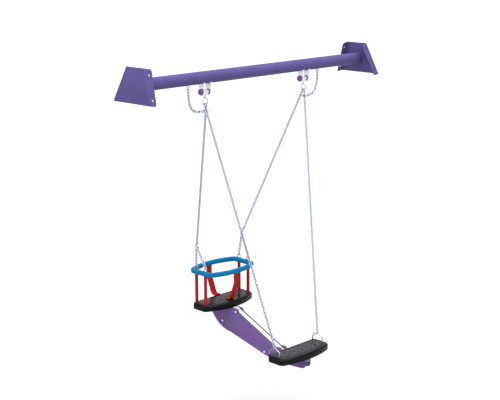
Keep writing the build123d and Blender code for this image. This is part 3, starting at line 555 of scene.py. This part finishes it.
def add_seat(name, node, middle_y, top, half, ends, mids, clear):
    """Moulded rubber seat; half, ends and mids are its outline in millimetres."""
    shape = (half * MM, [v * MM for v in ends], [v * MM for v in mids], SEAT_CORNER)
    rings = []
    for grow, height in seat_profile():
        ring = outline(*shape, grow=grow * MM)
        rings.append([Vector((x, middle_y + y, top + height * MM)) for x, y in ring])
    shells = [loft(rings)] + tread(shape, top, middle_y, clear)
    seat = piece(name, shells, "swing", ["black_rubber", "tread_top_painted_light"], [node], crease=24)
    # Up-facing quads of the top, the rib tops and the border band, get the lighter tread finish: painted
    # light on the top faces.
    for face in seat.data.polygons:
        if face.normal.z > 0.9 and face.center.z > top - 0.05 * MM and len(face.vertices) == 4:
            face.material_index = 1


def at_spot(x, y, spot, room):
    """Whether a place lies within room of one of the four mirrored spots."""
    return abs(abs(x) - spot[0]) < room[0] and abs(abs(y) - spot[1]) < room[1]


def on_bail_foot(x, y, reach):
    """Whether a rib would run into a bail's foot."""
    return at_spot(x, y, (FLAT_BAIL_X, FLAT_BAIL_LEG), (reach + 8 * MM, 9 * MM))


def on_cradle_foot(x, y, reach):
    """Whether a rib would run into a strap's foot or a post."""
    return (at_spot(x, y, (0, STRAP_CLEAR_Y), (reach + 26 * MM, 30 * MM))
            or at_spot(x, y, (POST_X, POST_Y), (reach + 13 * MM, 16 * MM)))


def add_seats():
    """Flat seat and cradle seat."""
    add_seat("flat_seat_moulding", "flat_seat", FLAT_Y, FLAT_TOP, 222, (78, 52), (118, 52),
             on_bail_foot)
    add_seat("cradle_seat_moulding", "cradle_seat", CRADLE_Y, CRADLE_TOP, 224, (60, 66), (118, 66),
             on_cradle_foot)


# ---- Cradle guard -------------------------------------------------------------------
def ring_section():
    """Guard ring's section, up by outward, with a moulding line on both sides."""
    section = rounded_section(RING_HALF_HEIGHT, RING_HALF_WIDTH, 9.5 * MM, steps=7)
    lined = []
    for i, (a, b) in enumerate(section):
        lined.append((a, b))
        after = section[(i + 1) % len(section)]
        if abs(abs(b) - RING_HALF_WIDTH) < 1e-7 and a * after[0] < 0:
            step = math.copysign(1.0, after[0])
            out = math.copysign(0.3 * MM, b)
            lined += [(-step * 0.8 * MM, b), (-step * 0.3 * MM, b + out),
                      (step * 0.3 * MM, b + out), (step * 0.8 * MM, b)]
    return lined


def add_ring():
    """Blue guard ring with small collars round the bails' legs."""
    height = RING_TOP - RING_HALF_HEIGHT
    ends, mids = (RING_END, RING_END), (RING_REACH, RING_REACH)
    line = outline(POST_X, ends, mids, 26 * MM, arc=40, bend=12)
    path = [Vector((x, CRADLE_Y + y, height)) for x, y in line]
    shells = [sweep(path, Z_AXIS, ring_section(), loop=True)]
    collar = [(-0.003, 0.0064), (0.0002, 0.0064), (0.0012, 0.0058), (0.0017, 0.0046),
              (0.0017, 0.0034), (-0.003, 0.0034)]
    for x in (-POST_X, POST_X):
        for row in (-1, 1):
            for leg in (-1, 1):
                spot = Vector((x, CRADLE_Y + row * POST_Y + leg * BAIL_LEG, RING_TOP))
                shells.append(lathe(collar, spot, Z_AXIS, 20))
    piece("guard_ring_cover", shells, "swing", ["blue_rubber"], ["cradle_ring_cover"])


def add_posts():
    """Red sleeves over the four posts, with a bead under the ring."""
    shells = []
    low, high = CRADLE_TOP, RING_TOP - 2 * RING_HALF_HEIGHT
    profile = [(low - 0.0006, 0.0100), (low, 0.0106), (low + 0.0008, 0.01075)]
    profile += [(low + (high - low) * i / 6, 0.01075) for i in range(1, 6)]
    profile += [(high - 0.0046, 0.01075), (high - 0.0036, 0.0113), (high - 0.0020, 0.0117),
                (high + 0.0040, 0.0117), (high + 0.0045, 0.0100)]
    for x in (-POST_X, POST_X):
        for row in (-1, 1):
            shells.append(lathe(profile, Vector((x, CRADLE_Y + row * POST_Y, 0)), Z_AXIS, 32))
    piece("post_sleeves_moulded", shells, "swing", ["red_rubber"], ["cradle_post_sleeves"])


def add_straps():
    """Front and back strap, with round edges and a bull-nosed foot."""
    for name, row in (("front", -1), ("back", 1)):
        head, bend, seat = RING_TOP - 28.5 * MM, RING_TOP - 99 * MM, CRADLE_TOP + STRAP_HALF
        corners = [Vector((0, CRADLE_Y + row * y, z)) for y, z in (
            (RING_REACH, head), (RING_REACH, bend), (84 * MM, seat), (52 * MM, seat))]
        path = fillet_path(corners, (0.060, 0.022), step=6)
        end, before = path[-1], path[-2]
        ahead = (end - before).normalized()
        scales = [1.0] * len(path)
        for along, size in ((0.0022, 0.90), (0.0036, 0.72), (0.0045, 0.40)):
            path.append(end + ahead * along)
            scales.append(size)
        section = rounded_section(STRAP_HALF_WIDTH, STRAP_HALF, 3.6 * MM, steps=5)
        count = len(path)
        rings = []
        for i, point in enumerate(path):
            side = (path[min(i + 1, count - 1)] - path[max(i - 1, 0)]).normalized().cross(X_AXIS)
            wide = 1.0 - (1.0 - scales[i]) * 0.16
            rings.append([point + X_AXIS * (a * wide) + side * (b * scales[i]) for a, b in section])
        piece(f"{name}_strap_moulded", [loft(rings)], "swing", ["red_rubber"],
              [f"cradle_{name}_strap"])


def add_bails():
    """Bent wire bails on the ring and on the flat seat."""
    for side_name, side in SIDES:
        shells = []
        for row in (-1, 1):
            y, foot, bar = CRADLE_Y + row * POST_Y, RING_TOP - 8.5 * MM, RING_TOP + 26 * MM
            corners = [Vector((side * POST_X, y + leg * BAIL_LEG, z))
                       for leg, z in ((-1, foot), (-1, bar), (1, bar), (1, foot))]
            bent = fillet_path(corners, (6.5 * MM, 6.5 * MM))
            shells.append(sweep(bent, X_AXIS, circle(RING_WIRE / 2)))
        piece(f"{side_name}_ring_bails", shells, "swing", ["stainless_wire"],
              [f"{side_name}_cradle_bails"])
        x, foot, shoulder, apex = side * FLAT_BAIL_X, -16 * MM, 27 * MM, 54 * MM
        corners = [Vector((x, FLAT_Y + leg * FLAT_BAIL_LEG, FLAT_TOP + z)) for leg, z in (
            (-1, foot), (-1, shoulder), (0, apex), (1, shoulder), (1, foot))]
        bent = fillet_path(corners, (8 * MM, 16 * MM, 8 * MM), step=7)
        shells = [sweep(bent, X_AXIS, circle(SEAT_WIRE / 2))]
        for leg in (-1, 1):
            spot = Vector((x, FLAT_Y + leg * FLAT_BAIL_LEG, FLAT_TOP))
            profile = [(-0.002, 0.0075), (0.0003, 0.0075), (0.0011, 0.0068), (0.0013, 0.0042),
                       (-0.002, 0.0036)]
            shells.append(lathe(profile, spot, Z_AXIS, 24) + (1,))
        piece(f"{side_name}_seat_bail", shells, "swing", ["stainless_wire", "black_rubber"],
              [f"{side_name}_flat_seat_bail"])


# ---- Crossbeam and hangers ----------------------------------------------------------
def add_beam():
    """Round tube cut to the leaning webs, and its painted weld beads."""
    lean = math.tan(WEB_LEAN)
    rings = []
    for radius, ends in ((BEAM_RADIUS, (-1, 1)), (BEAM_RADIUS - BEAM_WALL, (1, -1))):
        for end in ends:
            ring = []
            for i in range(96):
                angle = math.tau * i / 96
                y, z = radius * math.cos(angle), radius * math.sin(angle)
                ring.append(Vector((end * (BEAM_HALF - z * lean), y, z)))
            rings.append(ring)
    piece("crossbeam_round_tube", [loft(rings, loop=True)], "crossbeam", ["purple_powder_coat"],
          ["crossbeam_tube"], crease=50)
    shells = []
    bead = BEAM_RADIUS + 0.95 * MM
    for side in (-1, 1):
        inward = Vector((-side * math.cos(WEB_LEAN), 0, -math.sin(WEB_LEAN)))
        path, scales = [], []
        for i in range(150):
            angle = math.tau * i / 150
            y, z = bead * math.cos(angle), bead * math.sin(angle)
            path.append(Vector((side * (BEAM_HALF - z * lean), y, z)) + inward * 0.8 * MM)
            scales.append(1.0 + 0.09 * math.sin(math.tau * i / 3 * 1.02))
        shells.append(sweep(path, inward, circle(0.0036, 10), loop=True, scales=scales))
    piece("web_weld_beads", shells, "crossbeam", ["purple_powder_coat"])


def arc_bead(x, half_width, face, radius=2.2 * MM):
    """Weld bead where a plate's face meets the round tube from below."""
    limit = math.asin(half_width / BEAM_RADIUS)
    steps = int(2 * limit * BEAM_RADIUS / (1.1 * MM))
    line = BEAM_RADIUS + 0.35 * MM
    path, scales = [], []
    for i in range(steps + 1):
        angle = -limit + 2 * limit * i / steps
        path.append(Vector((x + face * 0.4 * MM, line * math.sin(angle), -line * math.cos(angle))))
        near = min(i, steps - i)
        scales.append((0.55, 0.85, 1.0)[min(near, 2)] * (1.0 + 0.10 * math.sin(i * 2.1)))
    return sweep(path, X_AXIS, circle(radius, 8), scales=scales)


def add_hangers():
    """Plates, tubes and pins of both hangers, with weld beads and domed caps."""
    beads = []
    for name, side in SIDES:
        for ear in (-1, 1):
            for face in (-1, 1):
                x = side * HANGER_X + ear * EAR_OFFSET + face * EAR_HALF_SHEET
                beads.append(arc_bead(x, EAR_HALF_WIDTH, face))
        for face in (-1, 1):
            beads.append(arc_bead(side * LUG_X + face * LUG_HALF_SHEET, LUG_HALF_WIDTH, face))
        for part, edge in (("end_bracket", 0.7), ("hanger_ears", 0.6), ("safety_lug", 0.6),
                           ("hanger_tongue", 0.6), ("bearing_tube", 0.6), ("bearing_bushes", 0.5)):
            refined(f"{name}_{part}", edge * MM, BODY_OF[f"{name}_{part}"])
        caps = []
        for end in (-1, 1):
            face_x = side * HANGER_X + end * (EAR_OFFSET + EAR_HALF_SHEET)
            origin = Vector((face_x, 0, PIVOT_Z))
            dome = BALL_DOME if end < 0 else LOW_DOME
            caps.append(lathe(cap_profile(dome), origin, X_AXIS * end, 60, cap_lobes))
        piece(f"{name}_domed_caps", caps, "crossbeam", ["purple_cap"], [f"{name}_pin_caps"])
    piece("hanger_weld_beads", beads, "crossbeam", ["galvanised_steel"])
    refined("pivot_bolts", 0.5 * MM, "crossbeam")
    refined("pivot_nuts", 0.5 * MM, "crossbeam")


def cap_profile(dome):
    """Hollow cap: pocket, rim and dome, high over a bolt's head and low over its nut."""
    depth, chamfer, steps, fullness = 10.5 * MM, 0.3 * MM, 12, 0.75
    profile = [(depth, 0), (depth, CAP_POCKET), (0, CAP_POCKET), (0, CAP_RADIUS - chamfer),
               (chamfer, CAP_RADIUS), (CAP_STRAIGHT, CAP_RADIUS)]
    for step in range(1, steps + 1):
        angle = math.pi / 2 * step / steps
        profile.append((CAP_STRAIGHT + dome * math.sin(angle),
                        CAP_RADIUS * math.cos(angle) ** fullness))
    return profile


def cap_lobes(radius, angle):
    """Three shallow lobes pressed into the dome."""
    if radius >= CAP_RADIUS - MM or radius == CAP_POCKET:
        return 0.0
    return 0.45 * MM * math.cos(3 * angle) * math.sin(math.pi * radius / (19 * MM))


# ---- Link beam ----------------------------------------------------------------------
def add_link_beam():
    """Boards with dark cores, bent tube, bolts and cap nuts."""
    for name, _ in SIDES:
        refined(f"{name}_side_board", 0.9 * MM, "swing", faces_slot=("board_core", "purple_board"))
    refined("link_tube", 1.8 * MM, "swing", segments=3)
    refined("link_tube_plugs", 0.8 * MM, "swing")
    refined("board_spacers", 0.5 * MM, "swing")
    for node in ("cradle_seat_bolts", "flat_seat_bolts", "strap_foot_bolts"):
        refined(node, 0.6 * MM, "swing")
    heads, nuts = [], []
    for points in islands("board_bolts"):
        low, high = points.min(0), points.max(0)
        spot = Vector((0, (low[1] + high[1]) / 2, (low[2] + high[2]) / 2))
        shank = high[0]
        head = [(-shank, 0.004), (0.0275, 0.004), (0.0275, 0.0068), (0.0279, 0.0070),
                (0.0288, 0.0069), (0.0302, 0.0061), (0.0311, 0.0046), (0.0314, 0.0030),
                (0.0297, 0.0027), (0.0297, 0)]
        heads.append(lathe(head, spot, -X_AXIS, 36))
    for points in islands("board_cap_nuts"):
        low, high = points.min(0), points.max(0)
        spot = Vector((low[0], (low[1] + high[1]) / 2, (low[2] + high[2]) / 2))
        nut = [(0.0042, 0), (0.0042, 0.0041), (0, 0.0041), (0, 0.0068), (0.0004, 0.0070),
               (0.0016, 0.0070), (0.0034, 0.0066), (0.0048, 0.0053), (0.0057, 0.0034),
               (0.0060, 0.0015), (0.0060, 0)]
        nuts.append(lathe(nut, spot, X_AXIS, 36))
    piece("board_bolts_domed", heads, "swing", ["fastener_steel"], ["board_bolts"])
    piece("board_cap_nuts_domed", nuts, "swing", ["fastener_steel"], ["board_cap_nuts"])


add_camera()
add_studio()

FINISHES = {
    "purple_powder_coat": finish("powder_coat", (0.060, 0.050, 0.152), (0.066, 0.056, 0.166), 14,
                                 (0.45, 0.55), specular=0.06, bump=0.15, grain=1400),
    "purple_board": finish("board_face", (0.098, 0.053, 0.182), (0.110, 0.061, 0.200), 20,
                           (0.45, 0.55), specular=0.18, bump=0.2, grain=700),
    "galvanised_steel": finish("galvanised", (0.74, 0.74, 0.77), (0.82, 0.82, 0.85), 90,
                               (0.30, 0.45), metallic=0.3, bump=0.1, pattern="spangle"),
    "galvanised_chain": finish("chain_zinc", (0.40, 0.44, 0.53), (0.56, 0.60, 0.69), 160,
                               (0.24, 0.38), metallic=0.9, bump=0.15),
    # Dark crown finish for the links: painted shade of the interlocks, with some rubbed wear.
    "chain_crown_wear_and_shade": finish("chain_rubbed_and_shaded", (0.090, 0.095, 0.120), (0.20, 0.205, 0.245), 300,
                          (0.30, 0.45), metallic=0.9, bump=0.15),
    "bearing_zinc": finish("bearing_bright", (0.58, 0.63, 0.76), (0.70, 0.75, 0.86), 90,
                           (0.10, 0.20), metallic=1.0, bump=0.05),
    "stainless_wire": finish("stainless", (0.27, 0.245, 0.24), (0.37, 0.34, 0.33), 60,
                             (0.22, 0.32), metallic=1.0, bump=0.05),
    "purple_cap": finish("cap_plastic", (0.100, 0.045, 0.190), (0.112, 0.052, 0.215), 60,
                         (0.30, 0.40), specular=0.3, bump=0.1),
    "blue_rubber": finish("blue_cover", (0.002, 0.106, 0.236), (0.003, 0.118, 0.262), 30,
                          (0.55, 0.65), specular=0.02, bump=0.25, grain=1100),
    "red_rubber": finish("red_cover", (0.226, 0.006, 0.006), (0.262, 0.009, 0.009), 30,
                         (0.48, 0.58), specular=0.06, bump=0.25, grain=1100),
    "black_rubber": finish("black_moulded", (0.0024, 0.0026, 0.0038), (0.0034, 0.0037, 0.0050), 25,
                           (0.14, 0.20), specular=0.08, bump=0.06, grain=900),
    # Lighter copy of the black rubber for the up-facing tops: painted light.
    "tread_top_painted_light": finish("tread_painted_light", (0.0280, 0.0290, 0.0335), (0.0335, 0.0348, 0.0400), 25,
                           (0.12, 0.18), specular=0.10, bump=0.06, grain=900),
    "black_plastic": finish("black_moulding", (0.012, 0.012, 0.013), (0.018, 0.018, 0.020), 60,
                            (0.35, 0.45)),
    "steel_insert": finish("bare_steel", (0.40, 0.40, 0.41), (0.48, 0.48, 0.49), 50,
                           (0.35, 0.5), metallic=0.9),
    "link_tube_steel": finish("tube_zinc", (0.47, 0.56, 0.58), (0.51, 0.60, 0.62), 40,
                              (0.30, 0.42), metallic=0.1, pattern="spangle"),
    "fastener_steel": finish("zinc_plate", (0.60, 0.62, 0.61), (0.70, 0.72, 0.71), 80,
                             (0.25, 0.38), metallic=0.8),
    "board_core": finish("laminate_core", (0.020, 0.022, 0.030), (0.030, 0.033, 0.042), 60, (0.5, 0.6)),
    "grey_plug": finish("plug_plastic", (0.065, 0.088, 0.105), (0.078, 0.102, 0.120), 60,
                        (0.4, 0.5), specular=0.2),
}
SLOT_OF = {part["node"]: part["material_slot"] for part in frame["record"]["subparts"]}
BODY_OF = {node: NODES[node]["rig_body"] for node in NODES}
for name in NODES:
    NODES[name].data.materials.clear()
    NODES[name].data.materials.append(FINISHES[finish_of(name)])

add_chains()
add_seats()
add_ring()
add_posts()
add_straps()
add_bails()
add_beam()
add_hangers()
add_link_beam()
